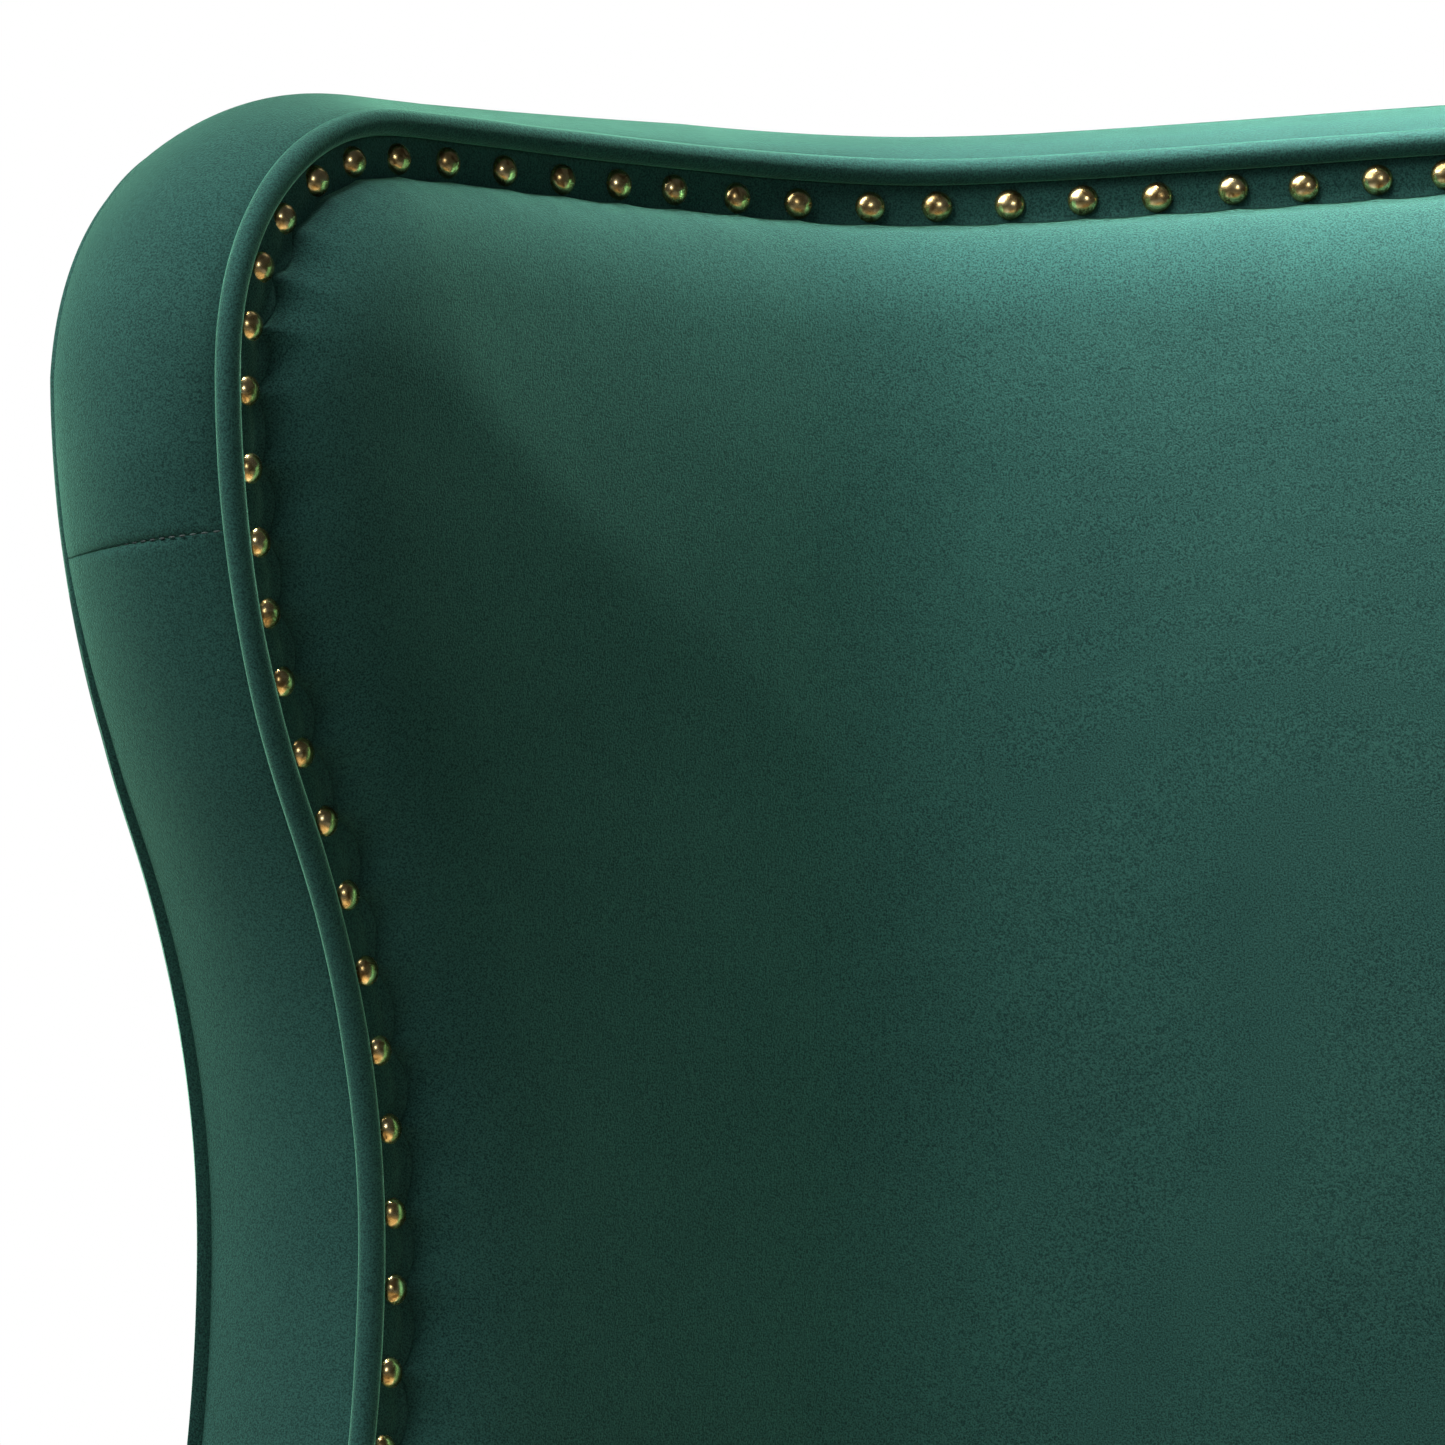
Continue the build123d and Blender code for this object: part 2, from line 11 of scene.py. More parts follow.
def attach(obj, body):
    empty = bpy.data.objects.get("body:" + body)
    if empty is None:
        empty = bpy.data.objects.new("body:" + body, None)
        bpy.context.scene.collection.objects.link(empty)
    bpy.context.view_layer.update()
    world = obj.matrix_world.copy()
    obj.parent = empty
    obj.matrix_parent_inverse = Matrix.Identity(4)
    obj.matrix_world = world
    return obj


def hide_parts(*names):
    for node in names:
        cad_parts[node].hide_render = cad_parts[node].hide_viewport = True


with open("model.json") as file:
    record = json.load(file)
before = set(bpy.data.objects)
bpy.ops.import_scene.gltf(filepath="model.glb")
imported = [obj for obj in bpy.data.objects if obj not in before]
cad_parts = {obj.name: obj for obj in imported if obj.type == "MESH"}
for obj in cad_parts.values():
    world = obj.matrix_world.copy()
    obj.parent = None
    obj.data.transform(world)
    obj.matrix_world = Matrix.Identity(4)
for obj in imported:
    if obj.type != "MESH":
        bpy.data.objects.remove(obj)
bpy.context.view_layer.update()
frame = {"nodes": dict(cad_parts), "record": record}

# ------------------------------------------------------------------ headboard, as in the CAD
BOARD_Y = 1.072             # front of the headboard's boards
FLAT_HALF = 0.630
TIGHT_RADIUS = 0.146
TIGHT_SWEEP = math.radians(43.0)
SLACK_RADIUS = 0.700
EAR_ANGLE = math.radians(65.2)
CUT_ANGLE = math.radians(59.0)
SQUARING = math.radians(9.0)    # turn past the tight bend over which the depth squares up
FOOT_HEIGHT = 0.098
WING_TOP = 1.407
CAMEL_RISE = 0.026
CAMEL_HALF = 0.70           # half the width over which the middle rises
CAMEL_EASE = 1.7            # how softly the rise begins
EAR_LIFT = 0.004            # the wings' top corners are drawn up a little
EAR_LIFT_FROM = (0.67, 1.15)    # run and height at which that lift begins
EAR_LIFT_REACH = 0.2
CORNER_RADIUS = 0.100
WAIST_HEIGHT = 0.993
WAIST_IN = 0.082
LOBE_HEIGHT = 0.640
LOBE_IN = 0.020
BAND_SEAM = 1.250
NAIL_PITCH = 0.028
NAIL_IN = 0.0175

# ------------------------------------------------------------------ upholstery over the CAD
STATION = 0.003             # spacing of the sections swept round the outline
TOP_POINTS = 300            # of the outline, from the middle of the top to the corner
ARC_POINTS = 60
EDGE_EVENING = 5            # stations over which the outline's joins are evened out
ON_TOP = (0.55, 0.90)       # how level the outline runs where it begins and ends to count as top
UNDERSIDE = 0.0002          # gap that keeps an underside clear of the boards
BAND_CROWN = 0.012
CROWN_BY_HEIGHT = ((1.00, 1.18, 1.28, 1.38), (0.45, 0.72, 1.25, 0.95))  # fullest at the ears
CROWN_BY_RUN = ((0.75, 0.87), (1.28, 0.92))                 # and between the wings
BAND_BACK = 0.0760
BAND_INSIDE = 0.0026
BAND_EDGE = 0.0016          # set in of the band's skin at its front and back edges
BAND_FRONT = 0.0004
BAND_LUMPS = (0.05, 40)     # share of fullness that wanders, and over how many stations
SEAM_TUCK = 0.004           # how far from a cross seam the band turns in
SEAM_DIP = 0.16             # share of its fullness that the band loses at a cross seam
WELT_RADIUS = 0.0050
WELT_IN = 0.0046
WELT_FRONT = 0.0026
WELT_LUMPS = (0.035, 9)     # share of its thickness that wanders, and over how many stations
WELT_SWAY = (0.0004, 22)    # how far it strays sideways, and over how many stations
BORDER_START = 0.0085
BORDER_LIFT = 0.0009
BORDER_WING = (0.0213, 0.0268)  # border's inner edge on the wings, at a nail and between nails
BORDER_TOP = (0.0242, 0.0250)   # the same along the top
BORDER_PUFF = (0.0020, 0.6)     # rise between nails, and the share lost along the top
BORDER_LIP = (0.0030, 0.0010)   # rise at the inner edge on the wings and along the top
LIP_WIDTH = 0.16            # as a share of the border's width
LIP_AT_NAIL = 0.3           # share of the lip that is left beside a nail
SCALLOP_LEAN = (0.75, 1.35)     # least and most that a scallop leans along the border
SCALLOP_SIZE = (0.55, 1.15)     # and how far in it reaches
SCALLOP_ROUNDNESS = 0.7
NAIL_RADIUS = 0.006
NAIL_RISE = 0.0044
NAIL_STRAY = (0.0012, 0.0006)   # how far nails stray along and across their row
NAIL_LEAN = 0.05
NAIL_AIM = 0.01             # depth of a point that a nail's axis goes through
PAD_RISE = 0.020
PAD_CROWN = 0.022
CROWN_REACH = 0.07
SHOULDER = 0.043            # how far in from its seam the pad reaches its full height
SHOULDER_POWER = 2.2
PAD_EDGE = 0.0004           # height of the pad's skin along its seam
SCALLOP_REACH = 0.014       # how far in the border's scallops show in the pad
NAIL_PULL = (0.14, 0.006, 0.007)    # share drawn in, how far from the nail, and how widely
PAD_LUMPS = (0.0012, 0.16)  # height and size of its soft lumps
PAD_BOTTOM = 0.100
PAD_BOTTOM_MIDDLE = 0.250   # between the side rails, just above the corner blocks
RAIL_SPAN = 0.875           # run along the board at which the wings pass the rails' outsides
GRID = 0.012
PANEL = (1.3, 1.45)         # half width and height that the grids of points cover
RINGS = (0.0, 0.0006, 0.0015, 0.003, 0.005, 0.008, 0.012, 0.017, 0.023, 0.030, 0.038, 0.046)
COVER_FRONT = 0.0735
COVER_BACK = 0.0790
COVER_GRID = 0.030
# outside back's rolled edge: how far in from the outline and how far back, from the band inwards
COVER_FOLD = ((0.0006, 0.0), (-0.0014, 0.0012), (-0.0024, 0.0028), (-0.0014, 0.0045), (0.002, 0.0055))
FOLD_BY_HEIGHT = ((0.98, 1.15, 1.30), (1.7, 1.0, 0.1))  # the fold shows more towards the floor
TUCK_BY_HEIGHT = ((1.10, 1.30), (0.0, 0.0022))          # and hides behind the band at the top
EAR_BACK = ((1.18, 1.26, 1.31, 1.38), (0.0, 0.0045, 0.0055, 0.0))   # the ears' back edges stand out

TIGHT_CENTRE = np.array([FLAT_HALF, BOARD_Y - TIGHT_RADIUS])
SLACK_CENTRE = TIGHT_CENTRE + (TIGHT_RADIUS - SLACK_RADIUS) * np.array(
    [math.sin(TIGHT_SWEEP), math.cos(TIGHT_SWEEP)]
)


# ------------------------------------------------------------------ the shell, laid out flat
def place(run, height, front):
    """Points in front of the boards, from their run along the boards' face and their height.

    Towards the wings' edges the depth runs square to the plane that the wings are cut from.
    """
    reach = np.abs(run)
    beyond_tight = reach - FLAT_HALF - TIGHT_SWEEP * TIGHT_RADIUS
    tight_turn = np.clip((reach - FLAT_HALF) / TIGHT_RADIUS, 0, TIGHT_SWEEP)
    turn = tight_turn + np.maximum(beyond_tight, 0) / SLACK_RADIUS
    slack = beyond_tight > 0
    squared = CUT_ANGLE + np.arcsin(
        np.sin(turn - CUT_ANGLE) * SLACK_RADIUS / (SLACK_RADIUS - front)
    )
    turn = turn + np.clip((turn - TIGHT_SWEEP) / SQUARING, 0, 1) * (squared - turn)
    away = np.where(slack, SLACK_RADIUS, TIGHT_RADIUS) - front
    centre_x = np.where(slack, SLACK_CENTRE[0], TIGHT_CENTRE[0])
    centre_y = np.where(slack, SLACK_CENTRE[1], TIGHT_CENTRE[1])
    x = centre_x + away * np.sin(turn) + np.minimum(reach - FLAT_HALF, 0)
    y = centre_y + away * np.cos(turn)
    return np.stack([np.copysign(x, run), y, np.broadcast_to(height, x.shape)], axis=-1)


def run_to(across):
    """Run along the boards to a point drawn `across` on the plane the wings are cut from."""
    turn = CUT_ANGLE + np.arcsin(across / SLACK_RADIUS + math.sin(EAR_ANGLE - CUT_ANGLE))
    return FLAT_HALF + TIGHT_SWEEP * TIGHT_RADIUS + (turn - TIGHT_SWEEP) * SLACK_RADIUS


def s_curve(start, end):
    """Two equal arcs that leave `start` and reach `end` heading straight down."""
    across = end[0] - start[0]
    down = start[1] - end[1]
    radius = (across**2 + down**2) / (4 * abs(across))
    bend = np.linspace(0, math.asin(down / 2 / radius), ARC_POINTS)
    half = np.stack(
        [math.copysign(radius, across) * (1 - np.cos(bend)), -radius * np.sin(bend)], axis=1
    )
    first = np.array(start) + half
    second = np.array(end) - half[::-1]
    return np.vstack([first, second[1:]])


def smooth(values, reach):
    """Evens out a sequence over `reach` places each side, its ends kept."""
    window = np.hanning(2 * reach + 3)[1:-1]
    padded = np.pad(values, reach, mode="reflect", reflect_type="odd")
    return np.convolve(padded, window / window.sum(), mode="valid")


def right_outline():
    """The headboard's edge from the middle of its top to the floor end of the right wing."""
    top_run = np.linspace(0, run_to(-CORNER_RADIUS), TOP_POINTS)
    rise = np.maximum(0, 1 - (top_run / CAMEL_HALF) ** 2) ** CAMEL_EASE
    top_height = WING_TOP + CAMEL_RISE * rise
    bend = np.linspace(0, math.pi / 2, ARC_POINTS)[1:]
    corner = np.stack(
        [
            CORNER_RADIUS * (np.sin(bend) - 1),
            WING_TOP + CORNER_RADIUS * (np.cos(bend) - 1),
        ],
        axis=1,
    )
    waist = s_curve((0, WING_TOP - CORNER_RADIUS), (-WAIST_IN, WAIST_HEIGHT))
    lobe = s_curve((-WAIST_IN, WAIST_HEIGHT), (-LOBE_IN, LOBE_HEIGHT))
    edge = np.vstack([corner, waist[1:], lobe[1:], [(-LOBE_IN, FOOT_HEIGHT)]])
    edge[:, 0] = run_to(edge[:, 0])
    whole = np.vstack([np.stack([top_run, top_height], axis=1), edge])
    outer, upper = np.clip((whole - EAR_LIFT_FROM) / EAR_LIFT_REACH, 0, 1).T
    whole[:, 1] += EAR_LIFT * outer * upper
    return whole


right_half = right_outline()
left_half = right_half[:0:-1] * (-1, 1)
corners = np.vstack([left_half, right_half])
steps = np.hypot(*np.diff(corners, axis=0).T)
corner_travel = np.concatenate([[0], np.cumsum(steps)])
edge_length = corner_travel[-1]
station_count = round(edge_length / STATION) + 1
travel = np.linspace(0, edge_length, station_count)
edge = np.stack(
    [smooth(np.interp(travel, corner_travel, corners[:, k]), EDGE_EVENING) for k in (0, 1)],
    axis=1,
)
heading = np.gradient(edge, axis=0)
heading /= np.hypot(*heading.T)[:, None]
inward = np.stack([heading[:, 1], -heading[:, 0]], axis=1)
on_top = np.interp(np.abs(heading[:, 0]), ON_TOP, (0, 1))


def flat_spot(along, across):
    """Run and height of points `along` the outline, set `across` in from it."""
    return [
        np.interp(along, travel, edge[:, k]) + across * np.interp(along, travel, inward[:, k])
        for k in (0, 1)
    ]


def wander(count, spacing, seed):
    """Random values from -1 to 1 that drift smoothly, a new one every `spacing` places."""
    picker = np.random.default_rng(seed)
    knots = picker.uniform(-1, 1, count // spacing + 3)
    return smooth(np.interp(np.arange(count) / spacing, np.arange(len(knots)), knots), spacing // 2)


def ripple(points, size, seed):
    """Smooth noise from -1 to 1, its lumps about `size` across."""
    shift = Vector((seed, seed, seed))
    return np.array([noise.noise(Vector(point) / size + shift) for point in points])


def tree_of(spots):
    """A quick search for the nearest of some flat points."""
    tree = kdtree.KDTree(len(spots))
    for index, spot in enumerate(spots):
        tree.insert((spot[0], spot[1], 0), index)
    tree.balance()
    return tree


def gap_to(tree, spot):
    """Index of the nearest point and its distance."""
    _, index, gap = tree.find((spot[0], spot[1], 0))
    return index, gap


def gaps_to(tree, spots):
    """Distances from many points to the nearest point of a tree."""
    return np.array([gap_to(tree, spot)[1] for spot in spots])


# ------------------------------------------------------------------ mesh helpers
def piece(name, vertices, faces, look, smooth_angle=40, slot=None):
    """A smooth-shaded mesh that rides on the bed and wears its look; `slot` is not used."""
    mesh = bpy.data.meshes.new(name)
    mesh.from_pydata(vertices.tolist(), [], faces)
    mesh.validate()
    made = bpy.data.objects.new(name, mesh)
    bpy.context.collection.objects.link(made)
    mesh.materials.append(looks[look])
    mesh.shade_smooth()
    mesh.set_sharp_from_angle(angle=math.radians(smooth_angle))
    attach(made, "bed")
    return made


def loop_faces(rows, columns):
    """Faces of a tube of closed sections, with both ends capped."""
    faces = []
    for row in range(rows - 1):
        for column in range(columns):
            beside = (column + 1) % columns
            start = row * columns
            after = start + columns
            faces.append((start + column, start + beside, after + beside, after + column))
    faces.append(tuple(range(columns))[::-1])
    faces.append(tuple(range((rows - 1) * columns, rows * columns)))
    return faces


def sweep(name, look, along, across, front):
    """Skin through closed sections set out along the outline."""
    along, across, front = np.broadcast_arrays(along, across, front)
    points = place(*flat_spot(along, across), front)
    return piece(name, points.reshape(-1, 3), loop_faces(*along.shape), look)


def grid_over(step, bottom):
    """Even grid of flat points over the whole headboard."""
    half, top = PANEL
    runs, heights = np.meshgrid(np.arange(-half, half, step), np.arange(bottom, top, step))
    return np.stack([runs.ravel(), heights.ravel()], axis=1)


def triangulate(loop, inner):
    """Flat points and triangles that fill a closed loop and use the points inside it."""
    spots = [Vector(spot) for spot in np.vstack([loop, inner])]
    rim = [(k, (k + 1) % len(loop)) for k in range(len(loop))]
    flat, _, triangles, *_ = delaunay_2d_cdt(spots, rim, [], 1, 1e-7)
    return np.array([tuple(spot) for spot in flat]), triangles


def open_edges(triangles):
    """Edges that only one triangle has, each in that triangle's direction."""
    edges = set()
    for triangle in triangles:
        for start, end in zip(triangle, triangle[1:] + triangle[:1]):
            if (end, start) in edges:
                edges.remove((end, start))
            else:
                edges.add((start, end))
    return sorted(edges)


def copies(solid, faces, spots, ways, up):
    """One mesh of many equal solids: each stands at its spot with its +Z along its way."""
    vertices, all_faces = [], []
    for spot, way in zip(spots, ways):
        turn = np.array(Vector(way).to_track_quat("Z", up).to_matrix())
        all_faces += [tuple(k + len(vertices) * len(solid) for k in face) for face in faces]
        vertices.append(solid @ turn.T + spot)
    return np.vstack(vertices), all_faces


def turned(profile, sides):
    """Vertices and faces of a solid turned from (radius, height) pairs; the last is its tip."""
    around = np.linspace(0, 2 * math.pi, sides, endpoint=False)
    rings = [
        np.stack([radius * np.cos(around), radius * np.sin(around), np.full(sides, height)], axis=1)
        for radius, height in profile[:-1]
    ]
    vertices = np.vstack([*rings, [(0, 0, profile[-1][1])]])
    faces = [tuple(range(sides))[::-1]]
    for ring in range(len(rings) - 1):
        for side in range(sides):
            beside = (side + 1) % sides
            low, high = ring * sides, (ring + 1) * sides
            faces.append((low + side, low + beside, high + beside, high + side))
    last = (len(rings) - 1) * sides
    faces += [(last + side, last + (side + 1) % sides, len(vertices) - 1) for side in range(sides)]
    return vertices, faces


# ------------------------------------------------------------------ materials
looks = {}


class Look:
    """A node material in the making: one Principled shader and the textures that drive it."""

    def __init__(self, name, roughness, metallic=0.0):
        self.material = bpy.data.materials.new(name)
        self.material.use_nodes = True
        self.tree = self.material.node_tree
        self.shader = self.tree.nodes["Principled BSDF"]
        self.shader.inputs["Roughness"].default_value = roughness
        self.shader.inputs["Metallic"].default_value = metallic
        self.place = self.tree.nodes.new("ShaderNodeTexCoord").outputs["Object"]
        looks[name] = self.material

    def link(self, source, target):
        self.tree.links.new(source, target)

    def grain(self, scale, detail=4.0, stretch=(1, 1, 1), distortion=0.0):
        """Noise, stretched along an axis where wood grain or brushing asks for it."""
        mapping = self.tree.nodes.new("ShaderNodeMapping")
        mapping.inputs["Scale"].default_value = stretch
        self.link(self.place, mapping.inputs["Vector"])
        texture = self.tree.nodes.new("ShaderNodeTexNoise")
        texture.inputs["Scale"].default_value = scale
        texture.inputs["Detail"].default_value = detail
        texture.inputs["Distortion"].default_value = distortion
        self.link(mapping.outputs["Vector"], texture.inputs["Vector"])
        return texture.outputs["Fac"]

    def bands(self, scale, direction, distortion=0.0):
        """Parallel bands, as of a weave, plies or growth rings."""
        texture = self.tree.nodes.new("ShaderNodeTexWave")
        texture.bands_direction = direction
        texture.inputs["Scale"].default_value = scale
        texture.inputs["Distortion"].default_value = distortion
        self.link(self.place, texture.inputs["Vector"])
        return texture.outputs["Fac"]

    def cells(self, scale):
        """Cells of an open foam or a scatter of lint."""
        texture = self.tree.nodes.new("ShaderNodeTexVoronoi")
        texture.inputs["Scale"].default_value = scale
        self.link(self.place, texture.inputs["Vector"])
        return texture.outputs["Distance"]

    def colours(self, driver, *stops):
        """Colour ramp through (place, colour) stops."""
        ramp = self.tree.nodes.new("ShaderNodeValToRGB")
        marks = ramp.color_ramp.elements
        while len(marks) < len(stops):
            marks.new(0.5)
        for mark, (position, colour) in zip(marks, stops):
            mark.position = position
            mark.color = (*colour, 1)
        self.link(driver, ramp.inputs["Fac"])
        return ramp.outputs["Color"]

    def blend(self, first, second, share, kind="MIX"):
        """Two colours mixed; the share is a number or a texture."""
        mixer = self.tree.nodes.new("ShaderNodeMix")
        mixer.data_type = "RGBA"
        mixer.blend_type = kind
        self.link(first, mixer.inputs["A"])
        self.link(second, mixer.inputs["B"])
        if isinstance(share, float):
            mixer.inputs["Factor"].default_value = share
        else:
            self.link(share, mixer.inputs["Factor"])
        return mixer.outputs["Result"]

    def colour(self, source):
        self.link(source, self.shader.inputs["Base Color"])

    def roughness(self, source, low, high):
        spread = self.tree.nodes.new("ShaderNodeMapRange")
        spread.inputs["To Min"].default_value = low
        spread.inputs["To Max"].default_value = high
        self.link(source, spread.inputs["Value"])
        self.link(spread.outputs["Result"], self.shader.inputs["Roughness"])

    def relief(self, source, depth, strength, under=None):
        """Bump; `under` is a coarser relief that this one lies on."""
        bump = self.tree.nodes.new("ShaderNodeBump")
        bump.inputs["Distance"].default_value = depth
        bump.inputs["Strength"].default_value = strength
        self.link(source, bump.inputs["Height"])
        if under is not None:
            self.link(under, bump.inputs["Normal"])
        self.link(bump.outputs["Normal"], self.shader.inputs["Normal"])
        return bump.outputs["Normal"]

    def sheen(self, weight, roughness, tint):
        self.shader.inputs["Sheen Weight"].default_value = weight
        self.shader.inputs["Sheen Roughness"].default_value = roughness
        self.shader.inputs["Sheen Tint"].default_value = (*tint, 1)


def velvet_look():
    """Short green pile: dark face on, pale where it turns away, brushed into soft patches."""
    velvet = Look("velvet", 0.9)
    patches = velvet.grain(16.0, 3.0, distortion=0.6)
    broad = velvet.colours(
        patches, (0.30, (0.0060, 0.0290, 0.0260)), (0.72, (0.0100, 0.0430, 0.0365))
    )
    pile = velvet.grain(1500.0, 3.0)
    speckle = velvet.colours(
        pile, (0.36, (0.0010, 0.0070, 0.0070)), (0.60, (0.0230, 0.0880, 0.0720))
    )
    velvet.colour(velvet.blend(broad, speckle, 0.5))
    brushed = velvet.relief(velvet.grain(40.0, 2.0), 0.0012, 0.25)
    velvet.relief(pile, 0.0004, 0.6, under=brushed)
    velvet.shader.inputs["Specular IOR Level"].default_value = 0.1
    velvet.sheen(1.0, 0.35, (0.28, 0.76, 0.50))


def thread_look():
    """Seam thread, a shade darker than the velvet."""
    thread = Look("seam_thread", 0.7)
    thread.colour(thread.colours(
        thread.grain(900.0), (0.4, (0.003, 0.012, 0.011)), (0.6, (0.008, 0.03, 0.026))
    ))


def brass_look():
    """Antique brass: warm metal, browner and duller in patches."""
    brass = Look("aged_brass", 0.3, metallic=1.0)
    patina = brass.grain(260.0, 5.0, distortion=0.8)
    brass.colour(brass.colours(
        patina, (0.34, (0.20, 0.13, 0.05)), (0.5, (0.56, 0.42, 0.18)), (0.68, (0.80, 0.66, 0.36))
    ))
    brass.roughness(patina, 0.34, 0.18)
    brass.relief(brass.grain(900.0, 3.0), 0.0002, 0.2)


def wood_look(name, early, late, roughness, stretch):
    """Plain sawn or stained wood; the grain runs along the axis that is stretched least."""
    wood = Look(name, roughness)
    figure = wood.grain(28.0, 6.0, stretch, 0.5)
    fibre = wood.grain(220.0, 4.0, stretch)
    wood.colour(wood.blend(
        wood.colours(figure, (0.35, late), (0.62, early)),
        wood.colours(fibre, (0.3, late), (0.6, early)),
        0.35,
    ))
    wood.roughness(fibre, roughness + 0.1, roughness - 0.08)
    wood.relief(fibre, 0.0004, 0.3)


def plywood_look():
    """Birch plywood: broad rotary figure with faint ply lines."""
    plywood = Look("plywood", 0.62)
    figure = plywood.grain(9.0, 5.0, (1, 1, 0.25), 1.5)
    face = plywood.colours(figure, (0.35, (0.46, 0.31, 0.17)), (0.65, (0.66, 0.50, 0.32)))
    plies = plywood.bands(300.0, "Z", 1.0)
    edge_tone = plywood.colours(plies, (0.3, (0.42, 0.27, 0.14)), (0.7, (0.68, 0.52, 0.34)))
    plywood.colour(plywood.blend(face, edge_tone, 0.12))
    plywood.relief(plywood.grain(180.0, 4.0, (1, 1, 0.2)), 0.0003, 0.3)


def foam_look():
    """Open-cell polyurethane foam, yellowed a little."""
    foam = Look("foam", 0.9)
    cells = foam.cells(700.0)
    foam.colour(foam.colours(cells, (0.1, (0.50, 0.44, 0.26)), (0.7, (0.80, 0.75, 0.56))))
    foam.relief(cells, 0.0006, 0.6)


def webbing_look():
    """Woven black tape across the slats."""
    webbing = Look("webbing", 0.8)
    across = webbing.bands(160.0, "Y")
    along = webbing.bands(160.0, "X")
    weave = webbing.blend(across, along, 0.5, "DIFFERENCE")
    webbing.colour(webbing.colours(weave, (0.2, (0.02, 0.02, 0.021)), (0.8, (0.09, 0.09, 0.092))))
    webbing.relief(weave, 0.0006, 0.7)


def steel_look(name, dark, light, roughness, metallic, brush):
    """Painted or plated steel with a fine texture and slight wear."""
    steel = Look(name, roughness, metallic)
    wear = steel.grain(45.0, 5.0)
    steel.colour(steel.colours(wear, (0.35, dark), (0.65, light)))
    steel.roughness(wear, roughness + 0.1, roughness - 0.08)
    steel.relief(steel.grain(700.0, 3.0, brush), 0.0002, 0.35)


def plastic_look():
    """Matt moulded plastic with a faint spark texture."""
    plastic = Look("leveller", 0.55)
    spark = plastic.grain(900.0, 3.0)
    plastic.colour(plastic.colours(
        spark, (0.35, (0.016, 0.016, 0.017)), (0.65, (0.035, 0.035, 0.036))
    ))
    plastic.relief(spark, 0.0002, 0.4)


velvet_look()
thread_look()
brass_look()
foam_look()
plywood_look()
wood_look("pine", (0.66, 0.47, 0.27), (0.46, 0.29, 0.14), 0.6, (14, 1, 14))
wood_look("dark_wood", (0.045, 0.024, 0.014), (0.014, 0.008, 0.005), 0.35, (10, 10, 1))
webbing_look()
steel_look("black_steel", (0.012, 0.012, 0.013), (0.03, 0.03, 0.032), 0.45, 0.0, (1, 1, 1))
steel_look("zinc", (0.42, 0.43, 0.45), (0.62, 0.63, 0.64), 0.36, 1.0, (1, 1, 8))
plastic_look()

for subpart in frame["record"]["subparts"]:
    node = frame["nodes"][subpart["node"]]
    node.data.materials.clear()
    node.data.materials.append(looks[subpart["material_slot"]])

# ------------------------------------------------------------------ boxing bands
BAND_PLACES = 22            # points across the band's skin
BAND_UNDER = 4              # points across its underside
BAND_GATHER = 1.15          # draws the skin's points together towards its front
LEVEL_TOP = 1.35            # above this the band runs along the top, not up a wing
SEAM_GAP = 0.0001
SEAM_STEPS = (0.0, 0.0002, 0.0006, 0.0012, 0.0020, 0.0030, 0.0045, 0.0065)
SEAM_SLANT = -0.006         # the cross seams drop towards the back
SEAM_ARCH = 0.0015
SEAM_EASE = 0.05            # how far from a seam its slant dies away

above = travel[edge[:, 1] > BAND_SEAM]
left_seam, right_seam = above[0], above[-1]


def band_crown(share):
    """How full the band stands at a share of its depth, front to back, from 0 to 1."""
    return np.sin(math.pi * share**0.9) ** 0.85


def seam_drift(along, share):
    """How far along the outline a band's cloth is carried by the slant of a cross seam."""
    drift = 0
    for seam, way in ((left_seam, 1), (right_seam, -1)):
        near = np.exp(-(((along - seam) / SEAM_EASE) ** 2))
        drift = drift + way * near * (SEAM_SLANT * share + SEAM_ARCH * np.sin(math.pi * share))
    return drift


def band_piece(name, replaced, start, stop, seam_at_start, seam_at_stop):
    """One cut of the boxing band: crowned wadding under velvet, its ends turned in at seams."""
    steps = np.array(SEAM_STEPS)
    first = start + SEAM_GAP + steps if seam_at_start else np.array([start])
    last = stop - SEAM_GAP - steps[::-1] if seam_at_stop else np.array([stop])
    middle_count = round((last[0] - first[-1]) / STATION)
    along = np.concatenate([first, np.linspace(first[-1], last[0], middle_count)[1:-1], last])
    to_seam = np.minimum(
        along - along[0] if seam_at_start else SEAM_TUCK,
        along[-1] - along if seam_at_stop else SEAM_TUCK,
    )
    tuck = np.sqrt(1 - (1 - np.clip(to_seam / SEAM_TUCK, 0, 1)) ** 2)
    lump_share, lump_spacing = BAND_LUMPS
    lump = 1 + lump_share * np.interp(along, travel, wander(station_count, lump_spacing, seed=3))
    height = np.interp(along, travel, edge[:, 1])
    run = np.abs(np.interp(along, travel, edge[:, 0]))
    run_crown = np.where(height > LEVEL_TOP, np.interp(run, *CROWN_BY_RUN), CROWN_BY_RUN[1][1])
    crown = BAND_CROWN * np.interp(height, *CROWN_BY_HEIGHT) * run_crown
    fullness = (crown * lump * (1 - SEAM_DIP * (1 - tuck)))[:, None]
    skin_share = np.linspace(0, 1, BAND_PLACES)[::-1] ** BAND_GATHER
    stand_out = np.interp(height, *EAR_BACK)[:, None] * skin_share**2
    skin_across = BAND_EDGE - stand_out - fullness * band_crown(skin_share)
    across = np.hstack([np.full((len(along), BAND_UNDER), BAND_INSIDE), skin_across])
    share = np.concatenate([np.linspace(0, 1, BAND_UNDER), skin_share])
    front = -BAND_FRONT - BAND_BACK * share
    band = sweep(
        name, "velvet", along[:, None] + seam_drift(along[:, None], share), across, front
    )
    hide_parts(replaced)


